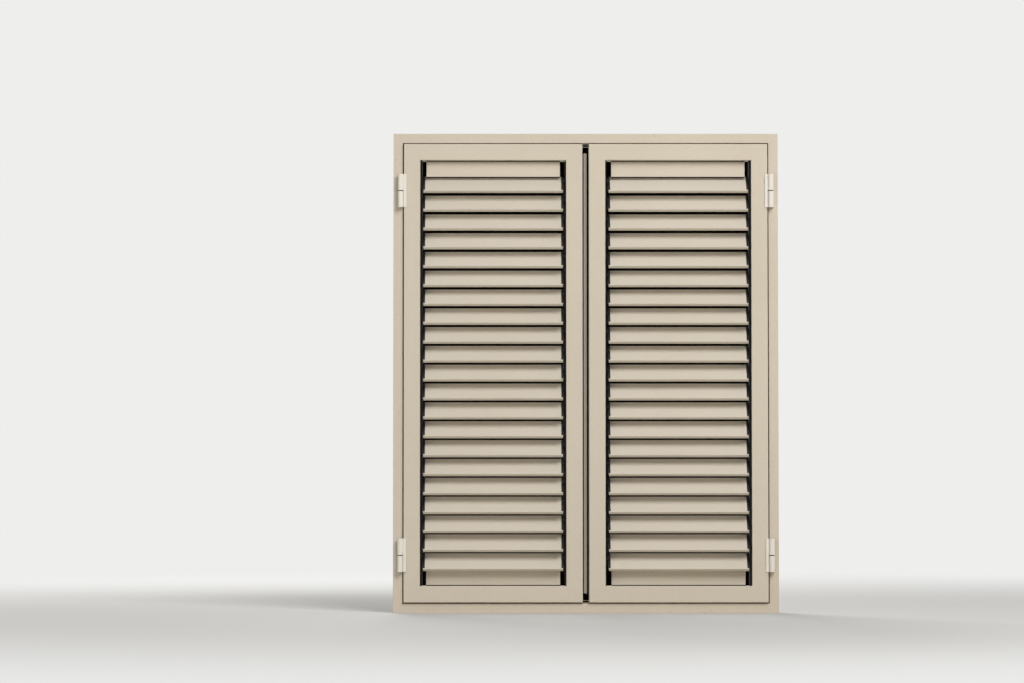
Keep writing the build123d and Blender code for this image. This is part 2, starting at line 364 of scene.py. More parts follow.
@dataclass(frozen=True)
class Weather:
    """Slow cloudiness, faint rain streaks and sparse specks of an outdoor surface.

    Sizes are in millimetres, and counts are per metre. Streaks is their share beside the clouds' 1. Each
    gain and offset spread the middling values of the noise, so that they reach from bare to covered.
    """

    cloud_size: float = 350.0
    cloud_detail: float = 3.0
    streaks: float = 0.15
    streak_width: float = 12.0
    streak_detail: float = 2.0
    streaks_along_height: float = 2.5
    dust_gain: float = 2.0
    dust_offset: float = -1.0
    speck_size: float = 4.0
    speck_detail: float = 1.0
    speck_patches: float = 9.0
    patch_share: float = 0.25
    speck_gain: float = 14.0
    speck_offset: float = -9.3

    def group(self) -> bpy.types.NodeTree:
        """Builds the shader group.

        Returns:
            A group that gives how dusty each point is, and whether it lies in a speck, both from 0 to 1.
        """
        numbers = {**in_metres(self, "cloud_size", "streak_width", "speck_size"), "Streaks": self.streaks}
        group = ShaderGroup("weathering", numbers, ["Dust", "Specks"])
        group.feed(group.results["Dust"], self.dust(group))
        group.feed(group.results["Specks"], self.specks(group))
        return group.tree

    def dust(self, group: ShaderGroup) -> Socket:
        """Adds the nodes of the clouds and the streaks.

        Args:
            group: the group that they go into.

        Returns:
            How dusty each point is, from 0 to 1.
        """
        place = group.values["Vector"]
        clouds = group.noise(place, group.per_metre("Cloud size"), self.cloud_detail)
        across = group.per_metre("Streak width")
        long_place = group.scaled(place, group.vector(across, across, self.streaks_along_height))
        streaks = group.noise(long_place, 1.0, self.streak_detail)
        faint = group.math("MULTIPLY", streaks, group.values["Streaks"])
        total = group.math("ADD", clouds, faint)
        return group.math("MULTIPLY_ADD", total, self.dust_gain, self.dust_offset, clamp=True)

    def specks(self, group: ShaderGroup) -> Socket:
        """Adds the nodes of the specks, which are more frequent in some patches than in others.

        Args:
            group: the group that they go into.

        Returns:
            1 inside a speck, and 0 elsewhere.
        """
        place = group.values["Vector"]
        dots = group.noise(place, group.per_metre("Speck size"), self.speck_detail)
        patches = group.noise(place, self.speck_patches, self.speck_detail)
        lowered = group.math("ADD", dots, -self.patch_share / 2)
        sparse = group.math("MULTIPLY_ADD", patches, self.patch_share, lowered)
        return group.math("MULTIPLY_ADD", sparse, self.speck_gain, self.speck_offset, clamp=True)


class SurfaceGroups:
    """The node groups that the finishes share."""

    def __init__(self) -> None:
        """Builds each group once."""
        self.grain = Grain().group()
        self.weather = Weather().group()


@dataclass(frozen=True)
class Finish:
    """A coated, moulded or anodised surface, as its maker would describe it.

    Sizes are in millimetres. Dust and specks are the shares of their colours where they are thickest,
    and the dust spreads the roughness a little. A lengthwise grain below 1 is drawn out along Z, as
    brushing does.
    """

    name: str
    slot: Slot
    colour: Colour
    dust_colour: Colour
    dust: float
    roughness: float
    roughness_spread: float
    grain_size: float
    grain_depth: float
    lengthwise_grain: float = 1.0
    metallic: float = 0.0
    specular: float = 0.5
    specks: float = 0.0
    speck_colour: Colour = (146, 128, 106)

    def material(self, groups: SurfaceGroups) -> bpy.types.Material:
        """Builds the finish as a procedural material.

        Args:
            groups: the shared surface groups.

        Returns:
            The material.
        """
        material = bpy.data.materials.new(self.name)
        graph = Graph.emptied(material)
        place = graph.add("ShaderNodeTexCoord").outputs["Object"]
        weather = graph.group(groups.weather, {"Vector": place})
        surface = {
            "Base Color": self.weathered_colour(graph, weather),
            "Roughness": graph.math("MULTIPLY_ADD", weather["Dust"], self.roughness_spread, self.roughness),
            "Metallic": self.metallic,
            "Specular IOR Level": self.specular,
            "Normal": self.uneven_normal(graph, groups.grain, place),
        }
        shader = graph.add("ShaderNodeBsdfPrincipled", surface)
        graph.add("ShaderNodeOutputMaterial", {"Surface": shader.outputs[0]})
        return material

    def weathered_colour(self, graph: Graph, weather: bpy.types.NodeOutputs) -> Socket:
        """Adds the nodes of the colour under its dust and specks.

        Args:
            graph: the material's graph.
            weather: the outputs of the weathering group.

        Returns:
            The colour at each point.
        """
        dusty = graph.math("MULTIPLY", weather["Dust"], self.dust)
        colour = graph.blend(dusty, linear(self.colour), linear(self.dust_colour))
        if self.specks:
            specks = graph.math("MULTIPLY", weather["Specks"], self.specks)
            colour = graph.blend(specks, colour, linear(self.speck_colour))
        return colour

    def uneven_normal(self, graph: Graph, grain: bpy.types.NodeTree, place: Socket) -> Socket:
        """Adds the nodes of the surface's grain.

        Args:
            graph: the material's graph.
            grain: the shared group of the grain.
            place: the point on the object.

        Returns:
            The normal at each point.
        """
        drawn_out = graph.scaled(place, (1.0, 1.0, self.lengthwise_grain))
        sizes = {"Vector": drawn_out, "Size": self.grain_size * MM, "Depth": self.grain_depth * MM}
        height = graph.group(grain, sizes)["Height"]
        return graph.add("ShaderNodeBump", {"Height": height, "Strength": 1.0, "Distance": 1.0}).outputs[0]


class Palette:
    """Every finish of the shutters with its material, looked up by its coat."""

    def __init__(self) -> None:
        """Builds all the materials."""
        groups = SurfaceGroups()
        self.finishes = {**self.paints(), **self.plastics(), **self.metals()}
        self.materials = {coat: finish.material(groups) for coat, finish in self.finishes.items()}

    def __getitem__(self, coat: Coat) -> bpy.types.Material:
        """The material of one coat."""
        return self.materials[coat]

    def slot(self, coat: Coat) -> str:
        """The record's slot that a coat belongs to."""
        return self.finishes[coat].slot.value

    @staticmethod
    def paints() -> dict[Coat, Finish]:
        """Lists the powder coats of the profiles and the paint of the hinges.

        Returns:
            The finishes by their coats.
        """
        frame = Finish(
            name="cream_coat_frame",
            slot=Slot.FRAME_PAINT,
            colour=(206, 195, 178),
            dust_colour=(160, 146, 124),
            dust=0.14,
            roughness=0.42,
            roughness_spread=0.10,
            grain_size=1.3,
            grain_depth=0.012,
            specks=0.25,
        )
        leaf = replace(
            frame, name="cream_coat_leaf", slot=Slot.LEAF_PAINT, colour=(207, 197, 180), specks=0.15
        )
        slat = replace(frame, name="cream_coat_slat", slot=Slot.SLATS, colour=(207, 198, 183), specks=0.1)
        # The meeting strip is the same cream coat, darkened and greyed as painted shade of the deep gap
        # between the leaves.
        strip = replace(
            frame, name="shaded_cream_coat_strip", slot=Slot.MEETING_STRIP, colour=(172, 163, 154), specks=0.0
        )
        hinge = Finish(
            name="white_hinge_paint",
            slot=Slot.HINGES,
            colour=(230, 226, 216),
            dust_colour=(192, 180, 160),
            dust=0.20,
            roughness=0.26,
            roughness_spread=0.15,
            grain_size=1.1,
            grain_depth=0.006,
        )
        return {
            Coat.FRAME: frame,
            Coat.LEAF: leaf,
            Coat.SLAT: slat,
            Coat.STRIP: strip,
            Coat.HINGE: hinge,
        }

    @staticmethod
    def plastics() -> dict[Coat, Finish]:
        """Lists the black plastics and the rubber.

        Returns:
            The finishes by their coats.
        """
        # The carriers are black plastic, darkened further as painted shade of the dark zone at the slat
        # ends.
        carrier = Finish(
            name="black_carrier_plastic_and_painted_shade",
            slot=Slot.CARRIERS,
            colour=(14, 13, 13),
            dust_colour=(44, 40, 35),
            dust=0.18,
            roughness=0.60,
            roughness_spread=0.18,
            grain_size=0.5,
            grain_depth=0.010,
            specular=0.2,
        )
        # The caps are black plastic, darkened further as painted shade of the dark slat ends; the hinge
        # bushings share this finish.
        cap = Finish(
            name="black_cap_plastic_and_painted_shade",
            slot=Slot.CARRIERS,
            colour=(26, 25, 24),
            dust_colour=(66, 60, 52),
            dust=0.20,
            roughness=0.46,
            roughness_spread=0.15,
            grain_size=0.5,
            grain_depth=0.008,
        )
        # This black rubber is the frame's seal, and it also colours the strip gaskets, which paint the shade
        # lines at the closing strips.
        rubber = Finish(
            name="black_rubber_and_shade_lines",
            slot=Slot.SEAL,
            colour=(22, 22, 22),
            dust_colour=(66, 61, 55),
            dust=0.25,
            roughness=0.68,
            roughness_spread=0.15,
            grain_size=0.4,
            grain_depth=0.014,
            specular=0.3,
        )
        return {Coat.CARRIER: carrier, Coat.CAP: cap, Coat.SEAL: rubber}

    @staticmethod
    def metals() -> dict[Coat, Finish]:
        """Lists the bare and the anodised metals.

        Returns:
            The finishes by their coats.
        """
        bar = Finish(
            name="black_anodised_bar",
            slot=Slot.DRIVE_BARS,
            colour=(30, 30, 31),
            dust_colour=(70, 66, 60),
            dust=0.20,
            roughness=0.36,
            roughness_spread=0.18,
            grain_size=0.25,
            grain_depth=0.004,
            lengthwise_grain=0.02,
            metallic=0.6,
        )
        cleat = Finish(
            name="cast_cleat",
            slot=Slot.CLEATS,
            colour=(186, 187, 190),
            dust_colour=(120, 117, 112),
            dust=0.25,
            roughness=0.45,
            roughness_spread=0.16,
            grain_size=0.8,
            grain_depth=0.03,
            metallic=1.0,
        )
        screw = replace(
            cleat,
            name="steel_screw",
            colour=(198, 198, 200),
            roughness=0.25,
            grain_size=0.3,
            grain_depth=0.003,
        )
        return {Coat.BAR: bar, Coat.CLEAT: cleat, Coat.SCREW: screw}


class GeometryTree(Graph):
    """A geometry node tree with named inputs, whose result is kept as a plain mesh."""

    def __init__(self, name: str, inputs: dict[str, float | Place]) -> None:
        """Makes the empty tree.

        Args:
            name: the tree's name.
            inputs: its number and vector inputs with their default values, in metres or radians.
        """
        super().__init__(bpy.data.node_groups.new(name, "GeometryNodeTree"))
        self.identifiers: dict[str, str] = {}
        for label, value in inputs.items():
            kind = "NodeSocketVector" if isinstance(value, tuple) else "NodeSocketFloat"
            socket = self.tree.interface.new_socket(label, in_out="INPUT", socket_type=kind)
            socket.default_value = value
            self.identifiers[label] = socket.identifier
        self.tree.interface.new_socket("Geometry", in_out="OUTPUT", socket_type="NodeSocketGeometry")
        self.values = self.add("NodeGroupInput").outputs

    def point(self) -> Socket:
        """The place of the point that is worked on."""
        return self.add("GeometryNodeInputPosition").outputs[0]

    def parts(self, vector: Socket) -> tuple[Socket, Socket, Socket]:
        """X, Y and Z of a vector."""
        outputs = self.add("ShaderNodeSeparateXYZ", {0: vector}).outputs
        return outputs[0], outputs[1], outputs[2]

    def arch(self, share: Socket) -> Socket:
        """1 in the middle, where the share is 0, and falling to 0 where it is -1 or 1."""
        return self.math("SUBTRACT", 1.0, self.math("MULTIPLY", share, share), clamp=True)

    def joined(self, *parts: Socket) -> Socket:
        """Joins several geometries.

        Args:
            *parts: the geometries.

        Returns:
            All of them as one.
        """
        node = self.add("GeometryNodeJoinGeometry")
        for part in parts:
            self.tree.links.new(part, node.inputs[0])
        return node.outputs[0]

    def moved(
        self,
        geometry: Socket,
        shift: Socket | None = None,
        turn: Socket | Place | None = None,
        scale: Socket | Place | None = None,
    ) -> Socket:
        """Scales a geometry, then turns it, then shifts it.

        Args:
            geometry: what is moved.
            shift: how far it goes, in metres.
            turn: the angles about X, Y and Z, in radians.
            scale: the factors along X, Y and Z.

        Returns:
            The moved geometry.
        """
        given = {"Translation": shift, "Rotation": turn, "Scale": scale}
        inputs = {label: value for label, value in given.items() if value is not None}
        return self.add("GeometryNodeTransform", {"Geometry": geometry, **inputs}).outputs[0]

    def nudged(self, curve: Socket, offset: Socket) -> Socket:
        """A curve whose points are each moved by an offset of their own."""
        return self.add("GeometryNodeSetPosition", {"Geometry": curve, "Offset": offset}).outputs[0]

    def flipped(self, mesh: Socket, selection: Socket | bool = True) -> Socket:
        """A mesh whose selected faces point the other way."""
        return self.add("GeometryNodeFlipFaces", {"Mesh": mesh, "Selection": selection}).outputs[0]

    def four_corners(self, low: Number, high: Number, half_low: Number, half_high: Number) -> Socket:
        """Draws a closed outline with straight sides.

        Args:
            low: where it starts along Y.
            high: where it ends along Y.
            half_low: half its width along X at the start.
            half_high: half its width along X at the end.

        Returns:
            The outline.
        """
        corners = {
            "Point 1": self.vector(half_low, low),
            "Point 2": self.vector(half_high, high),
            "Point 3": self.vector(self.minus(half_high), high),
            "Point 4": self.vector(self.minus(half_low), low),
        }
        return self.add("GeometryNodeCurvePrimitiveQuadrilateral", corners, mode="POINTS").outputs[0]

    def rounded(self, curve: Socket, radius: Number, steps: int, spacing: Number) -> Socket:
        """Rounds the corners of an outline and spaces its points evenly.

        Args:
            curve: the outline.
            radius: the radius of its corners.
            steps: the points of each corner.
            spacing: the distance between the new points.

        Returns:
            The rounded outline.
        """
        fillet_inputs = {"Curve": curve, "Radius": radius, "Count": steps, "Limit Radius": True}
        round_curve = self.add("GeometryNodeFilletCurve", fillet_inputs, mode="POLY").outputs[0]
        inputs = {"Curve": round_curve, "Length": spacing}
        return self.add("GeometryNodeResampleCurve", inputs, mode="LENGTH").outputs[0]

    def extruded(self, outline: Socket, steps: list[tuple[Number, float]]) -> Socket:
        """Fills an outline and grows the face along +Z into a closed form.

        Args:
            outline: the closed outline at z = 0.
            steps: for each step its height, and the scale of the face at its end.

        Returns:
            The closed mesh, with its faces pointing outwards.
        """
        face = self.add("GeometryNodeFillCurve", {"Curve": outline}, mode="NGONS").outputs[0]
        mesh, top = face, True
        for height, scale in steps:
            inputs = {"Mesh": mesh, "Selection": top, "Offset Scale": height, "Individual": False}
            grown = self.add("GeometryNodeExtrudeMesh", inputs, mode="FACES")
            mesh, top = grown.outputs["Mesh"], grown.outputs["Top"]
            if scale != 1.0:
                scaled = {"Geometry": mesh, "Selection": top, "Scale": scale}
                mesh = self.add("GeometryNodeScaleElements", scaled, domain="FACE").outputs[0]
        inputs = {"Geometry": self.joined(mesh, self.flipped(face)), "Distance": FORM_MERGE}
        return self.add("GeometryNodeMergeByDistance", inputs).outputs[0]

    def finish(self, geometry: Socket, material: bpy.types.Material) -> None:
        """Ends the tree: instances made real, and one material set.

        Args:
            geometry: what the tree has made.
            material: the finish of all its faces.
        """
        real = self.add("GeometryNodeRealizeInstances", {"Geometry": geometry}).outputs[0]
        coated = self.add("GeometryNodeSetMaterial", {"Geometry": real, "Material": material}).outputs[0]
        self.add("NodeGroupOutput", {"Geometry": coated})

    def grow(self, name: str, values: dict[str, float | Place]) -> bpy.types.Object:
        """Makes one object from the tree.

        Args:
            name: the object's name.
            values: the inputs that differ from the tree's defaults.

        Returns:
            The object with its finished plain mesh.
        """
        piece = new_object(name, bpy.data.meshes.new(name))
        modifier = piece.modifiers.new("form", "NODES")
        modifier.node_group = self.tree
        for label, value in values.items():
            modifier[self.identifiers[label]] = value
        freeze(piece)
        piece.data.shade_smooth()
        piece.data.set_sharp_from_angle(angle=SMOOTH_ANGLE)
        return piece


class SlatTree(GeometryTree):
    """A tree whose form is drawn along Z and then laid at one slat's own pivot and tilt."""

    LYING = (math.radians(90), 0.0, math.radians(90))

    def __init__(self, name: str, inputs: dict[str, float | Place]) -> None:
        """Makes the empty tree, with the slat's place and tilt before the inputs of the form itself."""
        super().__init__(name, {"Place": (0.0, 0.0, 0.0), "Tilt": 0.0, **inputs})

    def finish(self, geometry: Socket, material: bpy.types.Material) -> None:
        """Lays the form at the pivot and ends the tree.

        Args:
            geometry: the form along Z, centred on z = 0.
            material: the finish of all its faces.
        """
        lying = self.moved(geometry, turn=self.LYING)
        tilted = self.moved(lying, self.values["Place"], self.vector(self.values["Tilt"]))
        super().finish(tilted, material)


def is_mitre(face: bmesh.types.BMFace) -> bool:
    """Whether a face is the 45 degree end of an upright or lying profile."""
    x, y, z = (abs(part) for part in face.normal)
    return y < MITRE_TOLERANCE and abs(x - z) < MITRE_TOLERANCE


@dataclass
class Workshop:
    """What every sub-assembly needs: the nodes and joints of the model, and the finishes."""

    nodes: dict[str, bpy.types.Object]
    joints: dict[str, dict]
    palette: Palette

    def marked_mesh(self, node: str, name: str, shortest: float) -> bpy.types.Mesh:
        """Copies a solid's mesh and marks the edges that get rounded.

        The edges of a mitred end stay sharp, because both members meet there without a gap.

        Args:
            node: the solid's node.
            name: the new mesh's name.
            shortest: edges below this length stay sharp, as the rims of drilled holes do, in millimetres.

        Returns:
            The mesh, with merged points and a bevel weight on each marked edge.
        """
        form = bmesh.new()
        form.from_mesh(self.nodes[node].data)
        bmesh.ops.remove_doubles(form, verts=form.verts, dist=SOLID_MERGE)
        weight = form.edges.layers.float.new("bevel_weight_edge")
        for face in form.faces:
            face.smooth = True
        for line in form.edges:
            if line.calc_face_angle(math.pi) > ROUNDED_ANGLE:
                sharp = line.calc_length() < shortest * MM or any(map(is_mitre, line.link_faces))
                line.smooth = not sharp
                line[weight] = 0.0 if sharp else 1.0
        mesh = bpy.data.meshes.new(name)
        form.to_mesh(mesh)
        form.free()
        return mesh

    def soften(
        self, node: str, body: str, coat: Coat, edge: float, shortest: float = 0.0, segments: int = 2
    ) -> bpy.types.Object:
        """Redraws a rigid solid with rounded edges and gives it its finish.

        Args:
            node: the solid's node.
            body: the body that it moves with.
            coat: its finish.
            edge: the width of the rounded edges, in millimetres.
            shortest: edges below this length stay sharp, in millimetres.
            segments: how many flats make one rounded edge.

        Returns:
            The piece that stands for the node.
        """
        name = f"{node}_finished"
        mesh = self.marked_mesh(node, name, shortest)
        self.cover(mesh, coat)
        piece = new_object(name, mesh)
        bevel = piece.modifiers.new("soft edges", "BEVEL")
        bevel.width = edge * MM
        bevel.segments = segments
        bevel.limit_method = "WEIGHT"
        flat = piece.modifiers.new("flat faces", "WEIGHTED_NORMAL")
        flat.weight = FLAT_FACE_WEIGHT
        flat.keep_sharp = True
        freeze(piece)
        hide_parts(node)
        return self.mount(piece, body, coat)

    def mount(self, piece: bpy.types.Object, body: str, coat: Coat) -> bpy.types.Object:
        """Fixes a finished piece to its body and reports it.

        Args:
            piece: the piece.
            body: the body that it moves with.
            coat: its finish.

        Returns:
            The same piece.
        """
        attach(piece, body)
        self.palette.slot(coat)
        log.info("%s on %s: %d faces", piece.name, body, len(piece.data.polygons))
        return piece

    def paint(self, node: str, coat: Coat) -> None:
        """Gives a node that keeps its own shape its finish."""
        self.cover(self.nodes[node].data, coat)
        log.info("%s keeps its shape", node)

    def cover(self, mesh: bpy.types.Mesh, coat: Coat) -> None:
        """Gives a mesh one finish in place of what it had."""
        mesh.materials.clear()
        mesh.materials.append(self.palette[coat])


@dataclass
class Blade:
    """The extruded blade of a slat, with the bead along its nose.

    Sizes are in millimetres. Each end gap runs from the stile to the end of the form.
    """

    opening: float = 400.0
    end_gap: float = 13.2
    nose_reach: float = 43.0
    tail_reach: float = 18.0
    nose_thickness: float = 8.4
    tail_thickness: float = 4.4
    nose_bulge: float = 0.55
    crown: float = 0.8
    corner_radius: float = 1.5
    corner_steps: int = 4
    point_spacing: float = 0.9
    bead_depth: float = 3.0
    bead_front: float = 1.2
    bead_round: float = 0.7
    bead_steps: int = 5
    bead_spacing_share: float = 0.4
    bead_stand: float = 0.35
    bead_end_gap: float = 8.9
    groove_depth: float = 0.7
    groove_width: float = 0.55
    groove_place: float = 1.5

    def inputs(self) -> dict[str, float]:
        """Gives the tree's inputs for the blade, its bead and the groove.

        Returns:
            The inputs with their default values.
        """
        web = in_metres(self, "opening", "end_gap", "nose_reach", "tail_reach", "crown", "corner_radius")
        thickness = in_metres(self, "nose_thickness", "tail_thickness", "nose_bulge", "point_spacing")
        bead = in_metres(self, "bead_depth", "bead_front", "bead_round", "bead_stand", "bead_end_gap")
        groove = in_metres(self, "groove_depth", "groove_width", "groove_place")
        return {**web, **thickness, **bead, **groove}

    def tree(self, material: bpy.types.Material) -> SlatTree:
        """Builds the tree that makes one blade at its own pivot and tilt.

        Args:
            material: the blade's finish.

        Returns:
            The tree.
        """
        tree = SlatTree("louvre_blade", self.inputs())
        values = tree.values
        half_nose, half_tail = tree.half(values["Nose thickness"]), tree.half(values["Tail thickness"])
        nose = tree.math("SUBTRACT", values["Nose bulge"], values["Nose reach"])
        web = tree.four_corners(nose, values["Tail reach"], half_nose, half_tail)
        web = tree.rounded(web, values["Corner radius"], self.corner_steps, values["Point spacing"])
        web = self.crowned(tree, web, nose)
        bead_back = tree.math("ADD", nose, values["Bead depth"])
        bead_half = tree.math("ADD", half_nose, values["Bead stand"])
        bead = tree.four_corners(nose, bead_back, bead_half, bead_half)
        bead_spacing = tree.math("MULTIPLY", values["Point spacing"], self.bead_spacing_share)
        bead = tree.rounded(bead, values["Bead round"], self.bead_steps, bead_spacing)
        bead = self.bulged(tree, bead, nose, bead_half)
        bars = (self.bar(tree, web, values["End gap"]), self.bar(tree, bead, values["Bead end gap"]))
        tree.finish(tree.joined(*bars), material)
        return tree

    @staticmethod
    def bar(tree: SlatTree, outline: Socket, gap: Socket) -> Socket:
        """Draws an outline out along Z between the stiles.

        Args:
            tree: the blade's tree.
            outline: the closed outline.
            gap: the distance from each stile to the bar's end.

        Returns:
            The closed bar, centred on z = 0.
        """
        length = tree.math("MULTIPLY_ADD", gap, -2.0, tree.values["Opening"])
        whole = tree.extruded(outline, [(length, 1.0)])
        return tree.moved(whole, tree.vector(z=tree.math("MULTIPLY", length, -0.5)))

    @staticmethod
    def crowned(tree: SlatTree, curve: Socket, nose: Socket) -> Socket:
        """Bows the weather side of an outline outwards, most at its middle.

        Args:
            tree: the blade's tree.
            curve: the outline.
            nose: where it starts along Y.

        Returns:
            The bowed outline.
        """
        x, y, _ = tree.parts(tree.point())
        middle = tree.half(tree.math("ADD", nose, tree.values["Tail reach"]))
        half = tree.math("SUBTRACT", tree.values["Tail reach"], middle)
        share = tree.math("DIVIDE", tree.math("SUBTRACT", y, middle), half)
        offset = tree.minus(tree.math("MULTIPLY", tree.arch(share), tree.values["Crown"]))
        weather_side = tree.math("LESS_THAN", x, 0.0)
        return tree.nudged(curve, tree.vector(tree.math("MULTIPLY", offset, weather_side)))

    @staticmethod
    def bulged(tree: SlatTree, curve: Socket, nose: Socket, half: Socket) -> Socket:
        """Rounds the front of the bead and sinks its drip groove.

        Args:
            tree: the blade's tree.
            curve: the bead's outline.
            nose: where it starts along Y.
            half: half its width along X.

        Returns:
            The outline with its rounded and grooved front.
        """
        values = tree.values
        x, y, _ = tree.parts(tree.point())
        bow = tree.arch(tree.math("DIVIDE", x, half))
        bulge = tree.minus(tree.math("MULTIPLY", bow, values["Nose bulge"]))
        from_groove = tree.math("SUBTRACT", x, values["Groove place"])
        ratio = tree.math("DIVIDE", from_groove, values["Groove width"])
        dip = tree.math("EXPONENT", tree.minus(tree.math("MULTIPLY", ratio, ratio)))
        shift = tree.math("MULTIPLY_ADD", dip, values["Groove depth"], bulge)
        front = tree.math("LESS_THAN", y, tree.math("ADD", nose, values["Bead front"]))
        return tree.nudged(curve, tree.vector(y=tree.math("MULTIPLY", shift, front)))


@dataclass
class EndCaps:
    """The two plastic caps of a slat, with pivot pins, and the crank on the meeting side.

    Sizes are in millimetres, and the phase in degrees. Each boss is given as a multiple of its pin, the
    dome's base as a share of the cap's thickness, and its shrink as the share that its top is narrower.
    """

    opening: float = 400.0
    inner_gap: float = 13.2
    outer_gap: float = 6.1
    lip: float = 0.9
    nose_end: float = 40.6
    tail_reach: float = 18.0
    nose_thickness: float = 8.4
    tail_thickness: float = 4.4
    corner_radius: float = 2.2
    corner_steps: int = 4
    point_spacing: float = 1.6
    base_share: float = 0.3
    dome_steps: int = 4
    dome_shrink: float = 0.35
    pin_sides: int = 20
    pin_radius: float = 3.4
    pin_length: float = 12.7
    pivot_boss: float = 1.7
    crank_radius: float = 14.0
    crank_phase: float = 39.0
    crank_pin_radius: float = 2.15
    crank_pin_length: float = 9.6
    crank_boss: float = 1.8
    arm_thickness: float = 7.0

    def inputs(self) -> dict[str, float | Place]:
        """Gives the tree's inputs for the cap and its crank.

        Returns:
            The inputs with their default values.
        """
        phase = math.radians(90 - self.crank_phase)
        across, along = self.crank_radius * math.cos(phase) * MM, self.crank_radius * math.sin(phase) * MM
        return {
            "Crank side": 1.0,
            "Thickness": (self.inner_gap - self.outer_gap) * MM,
            "Crank place": (across, along, 0.0),
            **in_metres(self, "opening", "inner_gap", "lip", "nose_end", "tail_reach"),
            **in_metres(self, "nose_thickness", "tail_thickness", "corner_radius", "point_spacing"),
            **in_metres(self, "pin_radius", "pin_length"),
            **in_metres(self, "crank_pin_radius", "crank_pin_length", "arm_thickness"),
        }

    def tree(self, material: bpy.types.Material) -> SlatTree:
        """Builds the tree that makes both caps of one slat at its own pivot and tilt.

        Args:
            material: the caps' finish.

        Returns:
            The tree.
        """
        tree = SlatTree("slat_end_caps", self.inputs())
        values = tree.values
        cap = tree.joined(self.dome(tree), self.rod(tree, values["Pin radius"], values["Pin length"]))
        crank_pin = self.rod(tree, values["Crank pin radius"], values["Crank pin length"])
        crank = tree.joined(self.arm(tree), tree.moved(crank_pin, values["Crank place"]))
        half_span = tree.math("SUBTRACT", tree.half(values["Opening"]), values["Inner gap"])
        outwards = tree.vector(z=half_span)
        far_end = tree.moved(tree.joined(cap, crank), outwards)
        near_end = tree.flipped(tree.moved(tree.moved(cap, outwards), scale=(1.0, 1.0, -1.0)))
        pair = tree.joined(far_end, near_end)
        sided = tree.moved(pair, scale=tree.vector(1.0, 1.0, values["Crank side"]))
        ask = {0: values["Crank side"], 1: 0.0}
        mirrored = tree.add("FunctionNodeCompare", ask, operation="LESS_THAN").outputs[0]
        tree.finish(tree.flipped(sided, mirrored), material)
        return tree

    def dome(self, tree: SlatTree) -> Socket:
        """Makes a cap: the slat's outline behind its nose bead, with a domed outer face.

        Args:
            tree: the caps' tree.

        Returns:
            The cap, which stands on z = 0.
        """
        values = tree.values
        low = tree.minus(values["Nose end"])
        high = tree.math("ADD", values["Tail reach"], values["Lip"])
        half_low = tree.math("MULTIPLY_ADD", values["Nose thickness"], 0.5, values["Lip"])
        half_high = tree.math("MULTIPLY_ADD", values["Tail thickness"], 0.5, values["Lip"])
        outline = tree.four_corners(low, high, half_low, half_high)
        outline = tree.rounded(outline, values["Corner radius"], self.corner_steps, values["Point spacing"])
        base = tree.math("MULTIPLY", values["Thickness"], self.base_share)
        rise = tree.math("SUBTRACT", values["Thickness"], base)
        steps: list[tuple[Number, float]] = [(base, 1.0)]
        angles = [math.radians(90 * step / self.dome_steps) for step in range(self.dome_steps + 1)]
        for lower, upper in zip(angles, angles[1:]):
            height = tree.math("MULTIPLY", rise, math.sin(upper) - math.sin(lower))
            widths = [1 - self.dome_shrink * (1 - math.cos(angle)) for angle in (lower, upper)]
            steps.append((height, widths[1] / widths[0]))
        return tree.extruded(outline, steps)

    def rod(self, tree: SlatTree, radius: Socket, length: Socket) -> Socket:
        """Makes a round pin.

        Args:
            tree: the caps' tree.
            radius: the pin's radius.
            length: the pin's length.

        Returns:
            The pin, which stands on z = 0.
        """
        inputs = {"Vertices": self.pin_sides, "Radius": radius, "Depth": length}
        pin = tree.add("GeometryNodeMeshCylinder", inputs).outputs[0]
        return tree.moved(pin, tree.vector(z=tree.half(length)))

    def arm(self, tree: SlatTree) -> Socket:
        """Makes the crank arm: a flat web that wraps the pivot boss and the boss of the crank pin.

        Args:
            tree: the caps' tree.

        Returns:
            The arm, which stands on z = 0.
        """
        values = tree.values
        pivot_radius = tree.math("MULTIPLY", values["Pin radius"], self.pivot_boss)
        crank_radius = tree.math("MULTIPLY", values["Crank pin radius"], self.crank_boss)
        pivot = self.rod(tree, pivot_radius, values["Arm thickness"])
        crank = self.rod(tree, crank_radius, values["Arm thickness"])
        both = tree.joined(pivot, tree.moved(crank, values["Crank place"]))
        return tree.add("GeometryNodeConvexHull", {"Geometry": both}).outputs[0]


@dataclass
class FlangeScrews:
    """Small pan-head screws that hold the meeting strip to the back of the left leaf.

    Sizes are in millimetres. The profile of a head gives for each step its share of the head's height
    and the scale of the face at its end: up over the rim and the crown, then down into the recess.
    """

    count: int = 7
    pitch: float = 100.0
    sides: int = 20
    head_radius: float = 3.4
    head_height: float = 1.5
    end_inset: float = 60.0
    profile: tuple[tuple[float, float], ...] = (
        (0.45, 1.0),
        (0.35, 0.9),
        (0.2, 0.72),
        (0.0, 0.5),
        (-0.5, 0.9),
    )

    def tree(self, material: bpy.types.Material) -> GeometryTree:
        """Builds the tree that sets the screws along an upright line, heads towards +Y.

        Args:
            material: the screws' finish.

        Returns:
            The tree.
        """
        sizes = in_metres(self, "pitch", "head_radius", "head_height")
        tree = GeometryTree("flange_screws", {"Start": (0.0, 0.0, 0.0), **sizes})
        values = tree.values
        upwards = tree.vector(z=values["Pitch"])
        row = {"Count": self.count, "Start Location": values["Start"], "Offset": upwards}
        line = tree.add("GeometryNodeMeshLine", row).outputs[0]
        rim = {"Resolution": self.sides, "Radius": values["Head radius"]}
        circle = tree.add("GeometryNodeCurvePrimitiveCircle", rim).outputs[0]
        steps = [(tree.math("MULTIPLY", values["Head height"], rise), scale) for rise, scale in self.profile]
        head = tree.moved(tree.extruded(circle, steps), turn=(math.radians(-90), 0.0, 0.0))
        placed = tree.add("GeometryNodeInstanceOnPoints", {"Points": line, "Instance": head}).outputs[0]
        tree.finish(placed, material)
        return tree


